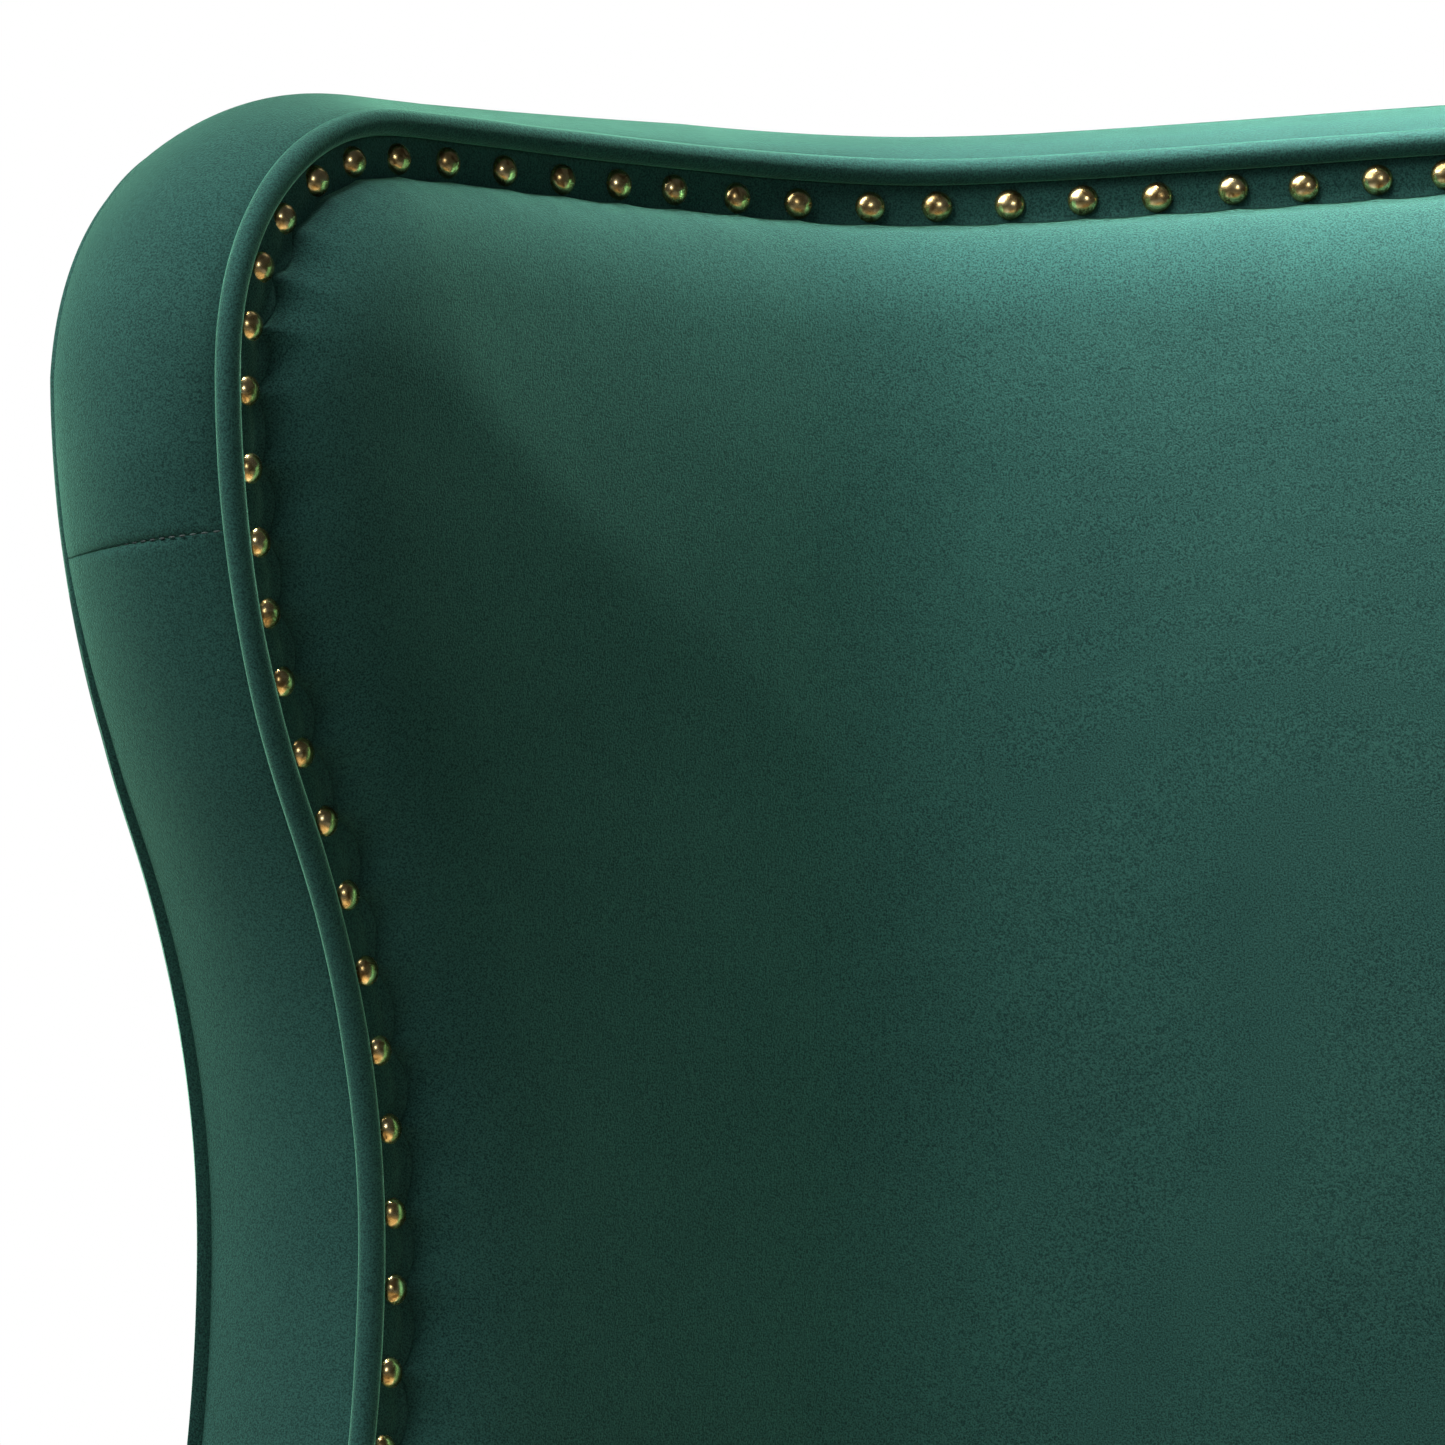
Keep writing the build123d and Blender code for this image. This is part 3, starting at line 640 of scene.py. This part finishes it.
band_piece("band_left", "boxing_band_side_left", 0, left_seam, False, True)
band_piece("band_top", "boxing_band_top", left_seam, right_seam, True, True)
band_piece("band_right", "boxing_band_side_right", right_seam, edge_length, True, False)

# ------------------------------------------------------------------ cross-seam stitches
STITCH_PITCH = 0.0042
STITCH = (0.0013, 0.0004)   # half length and half thickness
STITCH_SUNK = 0.0004
SPINDLE = ((0.35, -1.0), (0.8, -0.6), (1.0, 0.0), (0.8, 0.6), (0.35, 0.95), (0.0, 1.0))


def stitch_row(seam):
    """Short threads laid along a band seam, from the front crease to the back edge."""
    count = int(BAND_BACK / STITCH_PITCH)
    share = (np.arange(count) + 0.5) / count
    crown = BAND_CROWN * np.interp(BAND_SEAM, *CROWN_BY_HEIGHT) * CROWN_BY_RUN[1][1]
    across = STITCH_SUNK - (1 - SEAM_DIP) * crown * band_crown(share)
    return place(*flat_spot(seam + seam_drift(seam, share), across), -BAND_BACK * share)


def stitches(name, rows):
    """Each stitch is a small spindle pointing along its row."""
    half_length, half_thickness = STITCH
    spindle, faces = turned(SPINDLE, 8)
    spindle = spindle * (half_thickness, half_thickness, half_length)
    ways = np.vstack([np.gradient(row, axis=0) for row in rows])
    made = copies(spindle, faces, np.vstack(rows), ways, "X")
    piece(name, *made, "seam_thread", slot="velvet")


stitches("band_seam_stitches", [stitch_row(left_seam), stitch_row(right_seam)])

# ------------------------------------------------------------------ welt
WELT_PLACES = 18

around = np.linspace(2 * math.pi, 0, WELT_PLACES, endpoint=False)
thickness = WELT_RADIUS * (1 + WELT_LUMPS[0] * wander(station_count, WELT_LUMPS[1], seed=5))
sway = WELT_SWAY[0] * wander(station_count, WELT_SWAY[1], seed=8)
welt_across = WELT_IN + sway[:, None] + thickness[:, None] * np.cos(around)
welt_front = WELT_FRONT + thickness[:, None] * np.sin(around)
welt = sweep("welt", "velvet", travel[:, None], welt_across, welt_front)
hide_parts("front_welt")

# ------------------------------------------------------------------ nails' places
top_middle = len(left_half)
top_half = corner_travel[top_middle + TOP_POINTS - 1] - corner_travel[top_middle]
top_nails = round(top_half / NAIL_PITCH)
side_nails = int((edge_length / 2 - top_half) / NAIL_PITCH)
half_travel = np.concatenate([
    top_half * np.arange(1, top_nails) / top_nails,
    top_half + NAIL_PITCH * np.arange(side_nails),
])
nail_picker = np.random.default_rng(21)
nail_travel = edge_length / 2 + np.concatenate([-half_travel[::-1], [0], half_travel])
nail_travel = nail_travel + NAIL_STRAY[0] * nail_picker.uniform(-1, 1, len(nail_travel))
nail_across = NAIL_IN + NAIL_STRAY[1] * nail_picker.uniform(-1, 1, len(nail_travel))

# ------------------------------------------------------------------ nail border
BORDER_PLACES = 12

after = np.searchsorted(nail_travel, travel).clip(1, len(nail_travel) - 1)
between = (travel - nail_travel[after - 1]) / (nail_travel[after] - nail_travel[after - 1])
between = between.clip(0, 1)
lean = np.random.default_rng(4).uniform(*SCALLOP_LEAN, len(nail_travel))[after]
scallop_size = np.random.default_rng(6).uniform(*SCALLOP_SIZE, len(nail_travel))[after]
scallop = np.sin(math.pi * between**lean) ** SCALLOP_ROUNDNESS
wing_edge = BORDER_WING[0] + (BORDER_WING[1] - BORDER_WING[0]) * scallop * scallop_size
top_edge = BORDER_TOP[0] + (BORDER_TOP[1] - BORDER_TOP[0]) * scallop * scallop_size
border_edge = wing_edge + (top_edge - wing_edge) * on_top

border_share = np.linspace(0, 1, BORDER_PLACES)
border_across = BORDER_START + (border_edge - BORDER_START)[:, None] * border_share
puff = BORDER_PUFF[0] * scallop * (1 - BORDER_PUFF[1] * on_top)
lip = BORDER_LIP[0] + (BORDER_LIP[1] - BORDER_LIP[0]) * on_top
lip = lip * (LIP_AT_NAIL + (1 - LIP_AT_NAIL) * scallop)
border_front = (
    BORDER_LIFT
    + puff[:, None] * np.sin(math.pi * border_share)
    + lip[:, None] * np.exp(-(((1 - border_share) / LIP_WIDTH) ** 2))
)
under_share = border_share[::-1]
under_across = BORDER_START + (border_edge - BORDER_START)[:, None] * under_share
border = sweep(
    "nail_border_cloth",
    "velvet",
    travel[:, None],
    np.hstack([border_across, under_across]),
    np.hstack([border_front, np.full_like(under_across, UNDERSIDE)]),
)
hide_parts("nail_border")

# ------------------------------------------------------------------ nails
NAIL_RIM = ((0.92, -0.0006), (1.0, -0.0003))    # share of the radius, and height
NAIL_SIDES = 24

dome = [(NAIL_RADIUS * share, height) for share, height in NAIL_RIM]
dome += [
    (NAIL_RADIUS * math.cos(turn), NAIL_RISE * math.sin(turn))
    for turn in np.linspace(0, math.pi / 2, 9)
]
seats = place(*flat_spot(nail_travel, nail_across), BORDER_LIFT)
aims = place(*flat_spot(nail_travel, nail_across), NAIL_AIM)
outward = (aims - seats) / np.linalg.norm(aims - seats, axis=1)[:, None]
tilted = outward + NAIL_LEAN * nail_picker.uniform(-1, 1, outward.shape)
heads = copies(*turned(dome, NAIL_SIDES), seats, tilted, "Y")
nails = piece("nail_heads", *heads, "aged_brass", smooth_angle=50)
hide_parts("decorative_nails")


# ------------------------------------------------------------------ inside back cushion
def bottom_at(run):
    """Height of the cushion's lower edge at a run along the boards."""
    return np.where(np.abs(run) < RAIL_SPAN, PAD_BOTTOM_MIDDLE, PAD_BOTTOM)


def inside_back_spots():
    """Flat points of the cushion: a fine fringe along its seam, then an even grid."""
    seam = edge + border_edge[:, None] * inward
    keep = seam[:, 1] > PAD_BOTTOM
    rings = [
        (edge + (border_edge + ring)[:, None] * inward)[keep]
        for ring in RINGS
    ]
    seam = rings[0]
    half_span = seam[-1, 0]
    low = [(half_span, PAD_BOTTOM), (RAIL_SPAN, PAD_BOTTOM), (RAIL_SPAN, PAD_BOTTOM_MIDDLE)]
    low += [(-run, height) for run, height in low[::-1]]
    lower = []
    for start, end in zip(np.array(low), np.array(low[1:])):
        count = max(2, round(np.hypot(*(end - start)) / GRID))
        lower += [start + (end - start) * share for share in np.arange(count) / count]
    lower = np.vstack([lower, low[-1]])
    seam_tree = tree_of(seam)
    grid = grid_over(GRID, PAD_BOTTOM)
    grid = grid[grid[:, 1] > bottom_at(grid[:, 0]) + GRID / 2]
    grid = grid[gaps_to(seam_tree, grid) > RINGS[-1] + GRID / 2]
    fringe = np.vstack(rings[1:])
    fringe = fringe[fringe[:, 1] > bottom_at(fringe[:, 0]) + GRID / 4]
    return seam, lower, np.vstack([fringe, grid])


def cushion():
    """The padded inside back: steep soft shoulder at its seam, slight crown, pulled in at nails."""
    seam, lower, inner = inside_back_spots()
    flat, triangles = triangulate(np.vstack([seam, lower]), inner)
    nail_spots = np.stack(flat_spot(nail_travel, nail_across), axis=1)
    seam_gap, lower_gap, nail_gap, edge_gap = [
        gaps_to(tree_of(spots), flat) for spots in (seam, lower, nail_spots, edge)
    ]
    even_gap = edge_gap - np.mean(border_edge)
    inside_scallops = np.clip(seam_gap / SCALLOP_REACH, 0, 1)
    gap = seam_gap + inside_scallops * (even_gap - seam_gap)
    share = np.clip(gap / SHOULDER, 0, 1)
    shoulder = (1 - (1 - share) ** SHOULDER_POWER) ** (1 / SHOULDER_POWER)
    low_share = np.clip(lower_gap / SCALLOP_REACH, 0, 1)
    shoulder = shoulder * np.sqrt(1 - (1 - low_share) ** 2)
    pull_share, pull_gap, pull_width = NAIL_PULL
    pull = pull_share * np.exp(-(((nail_gap - pull_gap) / pull_width) ** 2))
    crown = PAD_CROWN * (1 - np.exp(-gap / CROWN_REACH))
    lump_rise, lump_size = PAD_LUMPS
    lumps = lump_rise * ripple([(*spot, 0.0) for spot in flat], lump_size, seed=2.5) * share
    front = PAD_EDGE + PAD_RISE * shoulder * (1 - pull) + (crown + lumps) * low_share
    skin = place(flat[:, 0], flat[:, 1], front)
    lining = place(flat[:, 0], flat[:, 1], UNDERSIDE)
    beneath = len(flat)
    faces = [tuple(face) for face in triangles]
    faces += [tuple(k + beneath for k in face[::-1]) for face in triangles]
    faces += [(b, a, a + beneath, b + beneath) for a, b in open_edges(triangles)]
    vertices = np.vstack([skin, lining])
    made = piece("inside_back_cushion", vertices, faces, "velvet", smooth_angle=80)
    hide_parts("inside_back_cover", "inside_back_pad", "wing_pad_left", "wing_pad_right")


cushion()


# ------------------------------------------------------------------ outside back cover
def outside_back():
    """Plain velvet drawn over the frame's back, its edge folded under and slightly proud."""
    out = np.interp(edge[:, 1], *FOLD_BY_HEIGHT)
    tucked = np.interp(edge[:, 1], *TUCK_BY_HEIGHT) - np.interp(edge[:, 1], *EAR_BACK)
    rims = [edge + (across * out + tucked)[:, None] * inward for across, _ in COVER_FOLD]
    edge_tree = tree_of(edge)
    inside = []
    for spot in grid_over(COVER_GRID, FOOT_HEIGHT):
        index, gap = gap_to(edge_tree, spot)
        clear_of_floor_edge = spot[1] > FOOT_HEIGHT + COVER_GRID / 4
        within = np.dot(spot - edge[index], inward[index]) > 0
        if within and clear_of_floor_edge and gap > COVER_GRID / 2:
            inside.append(spot)
    low_runs = np.arange(edge[-1, 0] - COVER_GRID / 2, edge[0, 0], -COVER_GRID)
    low_edge = [(run, FOOT_HEIGHT) for run in low_runs]
    flat, triangles = triangulate(np.vstack([rims[-1], low_edge]), inside)
    vertices = [place(flat[:, 0], flat[:, 1], -COVER_BACK)]
    faces = [tuple(face[::-1]) for face in triangles]
    first = len(flat)
    for (_, depth), ring in zip(COVER_FOLD[:-1], rims[:-1]):
        vertices.append(place(ring[:, 0], ring[:, 1], -COVER_FRONT - depth))
    for layer in range(len(COVER_FOLD) - 1):
        for k in range(station_count - 1):
            low = first + layer * station_count + k
            if layer < len(COVER_FOLD) - 2:
                high = low + station_count
                faces.append((low, low + 1, high + 1, high))
            else:
                faces.append((low, low + 1, k + 1, k))
    made = piece("outside_back_velvet", np.vstack(vertices), faces, "velvet")
    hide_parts("outside_back_cover")


outside_back()


# ------------------------------------------------------------------ side rails and footboard
BOX_STEP = 0.014
BOX_SETTLE = 0.035          # how far from an edge a side reaches its full swell
BOX_FLATNESS = 1.6          # how evenly a side stays swollen across its middle
BOX_LUMPS = (0.0006, 0.11)  # height and size of its soft lumps
BOX_FACE = 0.003            # a point this far past the core lies on that face


def spread(low, high, low_radius, high_radius, step=BOX_STEP):
    """Grid lines between two faces, close together where the edges are rounded."""
    bend = 1 - np.cos(np.linspace(0, math.pi / 2, 6))
    flat = np.linspace(low + low_radius, high - high_radius, max(3, round((high - low) / step)))
    return np.concatenate([low + low_radius * bend[:-1], flat, high - high_radius * bend[-2::-1]])


def box_faces(lines):
    """Points and faces of a box's six sides, cut along the given lines on each axis."""
    index, points, faces = {}, [], []

    def at(i, j, k):
        key = (i, j, k)
        if key not in index:
            index[key] = len(points)
            points.append((lines[0][i], lines[1][j], lines[2][k]))
        return index[key]

    for axis in range(3):
        first, second = [other for other in range(3) if other != axis]
        for side in (0, len(lines[axis]) - 1):
            for u in range(len(lines[first]) - 1):
                for v in range(len(lines[second]) - 1):
                    ring = []
                    for du, dv in ((0, 0), (1, 0), (1, 1), (0, 1)):
                        key = [0, 0, 0]
                        key[axis], key[first], key[second] = side, u + du, v + dv
                        ring.append(at(*key))
                    outward = (side > 0) ^ (axis == 1)
                    faces.append(tuple(ring if outward else ring[::-1]))
    return np.array(points), faces


def padded_box(name, low, high, radii, crown, replaced, way=1):
    """Velvet over wadding on a board: rounded edges, and sides that swell a little.

    Radii and crown are pairs for each axis, low side and high side. A `way` of -1 mirrors the
    box to the bed's other side.
    """
    low, high = np.array(low), np.array(high)
    radii = np.array(radii)
    lines = [spread(low[k], high[k], *radii[k]) for k in range(3)]
    points, faces = box_faces(lines)
    core = np.clip(points, low + radii[:, 0], high - radii[:, 1])
    past = points - core
    size = np.where(past < 0, radii[:, 0], radii[:, 1])
    length = np.sqrt(((past / size) ** 2).sum(axis=1))
    rounded = core + past / np.maximum(length, 1)[:, None]
    share = (rounded - low) / (high - low)
    bulge = np.sin(math.pi * share.clip(0, 1)).clip(0, 1)
    ends = np.minimum(rounded - low, high - rounded)
    settle = 1 - np.exp(-ends / BOX_SETTLE)
    pushed = rounded.copy()
    for axis, (low_push, high_push) in enumerate(crown):
        first, second = [other for other in range(3) if other != axis]
        amount = np.sqrt(np.minimum(bulge[:, first], 1) * bulge[:, second])
        amount = np.minimum(amount * BOX_FLATNESS, 1) * settle[:, first] * settle[:, second]
        pushed[:, axis] -= low_push * amount * (past[:, axis] < 0)
        pushed[:, axis] += high_push * amount * (past[:, axis] > 0)
    lump_rise, lump_size = BOX_LUMPS
    lumps = lump_rise * ripple(pushed, lump_size, seed=7.5)
    pushed += lumps[:, None] * np.sign(past) * (np.abs(past) > BOX_FACE)
    made = piece(name, pushed * (way, 1, 1), faces, "velvet", smooth_angle=80)
    if way < 0:
        made.data.flip_normals()
    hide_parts(*replaced)


RAIL_INNER = 0.776
RAIL_OUTER = 0.812
RAIL_PROUD = 0.0012         # how far the cloth stands out past the board and foam
RAIL_TOP = 0.378
RAIL_HEAD = BOARD_Y - 0.166
RAIL_TOE = BOARD_Y - 2.150
TOE_FACE = BOARD_Y - 2.220
RAIL_RADII = ((0.015, 0.015), (0.002, 0.008), (0.005, 0.015))
RAIL_CROWN = ((0.0, 0.005), (0.0, 0.0), (0.0, 0.0015))
FOOTBOARD_RADII = ((0.015, 0.015), (0.015, 0.015), (0.005, 0.015))
FOOTBOARD_CROWN = ((0.003, 0.003), (0.006, 0.0), (0.0, 0.0015))

for side, way in (("right", 1), ("left", -1)):
    padded_box(
        f"side_rail_{side}",
        (RAIL_INNER, RAIL_TOE, FOOT_HEIGHT),
        (RAIL_OUTER + RAIL_PROUD, RAIL_HEAD, RAIL_TOP),
        RAIL_RADII,
        RAIL_CROWN,
        (f"side_rail_cover_{side}", f"side_rail_pad_{side}"),
        way,
    )

padded_box(
    "footboard_upholstery",
    (-RAIL_OUTER, TOE_FACE, FOOT_HEIGHT),
    (RAIL_OUTER, RAIL_TOE, RAIL_TOP),
    FOOTBOARD_RADII,
    FOOTBOARD_CROWN,
    ("footboard_cover", "footboard_pad"),
)


# ------------------------------------------------------------------ studio
FLOOR_SIZE = 14


def lamp(name, place_at, aim, size, spread, power):
    """Rectangular softbox that faces a point; a narrow spread is a grid over its front."""
    light = bpy.data.lights.new(name, "AREA")
    light.shape = "RECTANGLE"
    light.size, light.size_y = size
    light.energy = power
    light.spread = math.radians(spread)
    made = bpy.data.objects.new(name, light)
    bpy.context.collection.objects.link(made)
    made.visible_camera = False
    made.location = place_at
    made.rotation_euler = (Vector(aim) - Vector(place_at)).to_track_quat("-Z", "Y").to_euler()


bpy.ops.mesh.primitive_plane_add(size=FLOOR_SIZE)
floor = bpy.context.object
floor.name = "studio_floor"
paper = Look("studio_paper", 0.9)
paper.colour(paper.colours(paper.grain(3.0), (0.3, (0.80, 0.80, 0.80)), (0.7, (0.84, 0.84, 0.84))))
floor.data.materials.append(paper.material)

bpy.context.scene.view_settings.view_transform = "Standard"
world = bpy.data.worlds.new("studio")
bpy.context.scene.world = world
world.use_nodes = True
nodes, links = world.node_tree.nodes, world.node_tree.links
backdrop = nodes["Background"]
backdrop.inputs["Color"].default_value = (1, 1, 1, 1)
backdrop.inputs["Strength"].default_value = 1.0
ambient = nodes.new("ShaderNodeBackground")
ambient.inputs["Color"].default_value = (0.9, 0.95, 1.0, 1)
ambient.inputs["Strength"].default_value = 0.05
seen = nodes.new("ShaderNodeLightPath")
either = nodes.new("ShaderNodeMixShader")
links.new(seen.outputs["Is Camera Ray"], either.inputs["Fac"])
links.new(ambient.outputs["Background"], either.inputs[1])
links.new(backdrop.outputs["Background"], either.inputs[2])
links.new(either.outputs["Shader"], nodes["World Output"].inputs["Surface"])

lamp("overhead", (-0.70, 0.92, 2.2), (-0.40, 0.84, 1.3), (0.45, 0.12), 62, 12)
lamp("rim", (-0.6, 1.9, 2.8), (-0.6, 1.1, 1.4), (2.0, 0.8), 140, 3)
lamp("key", (-2.0, 0.1, 2.95), (-0.4, 1.0, 1.1), (2.0, 2.0), 180, 136)
lamp("catch", (0.9, -2.4, 2.2), (-0.7, 1.0, 1.2), (0.18, 0.18), 60, 1.9)

# ------------------------------------------------------------------ camera
CAMERA_AT = (0.0, BOARD_Y - 4.4, 0.9)
CAMERA_TOWARDS = (-1959.5, 11563.0, 777.5)
CAMERA_LENS = 294.0
SENSOR = 36.0

camera = bpy.data.objects.new("camera", bpy.data.cameras.new("camera"))
bpy.context.collection.objects.link(camera)
camera.data.lens = CAMERA_LENS
camera.data.sensor_width = SENSOR
camera.location = CAMERA_AT
camera.rotation_euler = Vector(CAMERA_TOWARDS).to_track_quat("-Z", "Y").to_euler()
bpy.context.scene.camera = camera
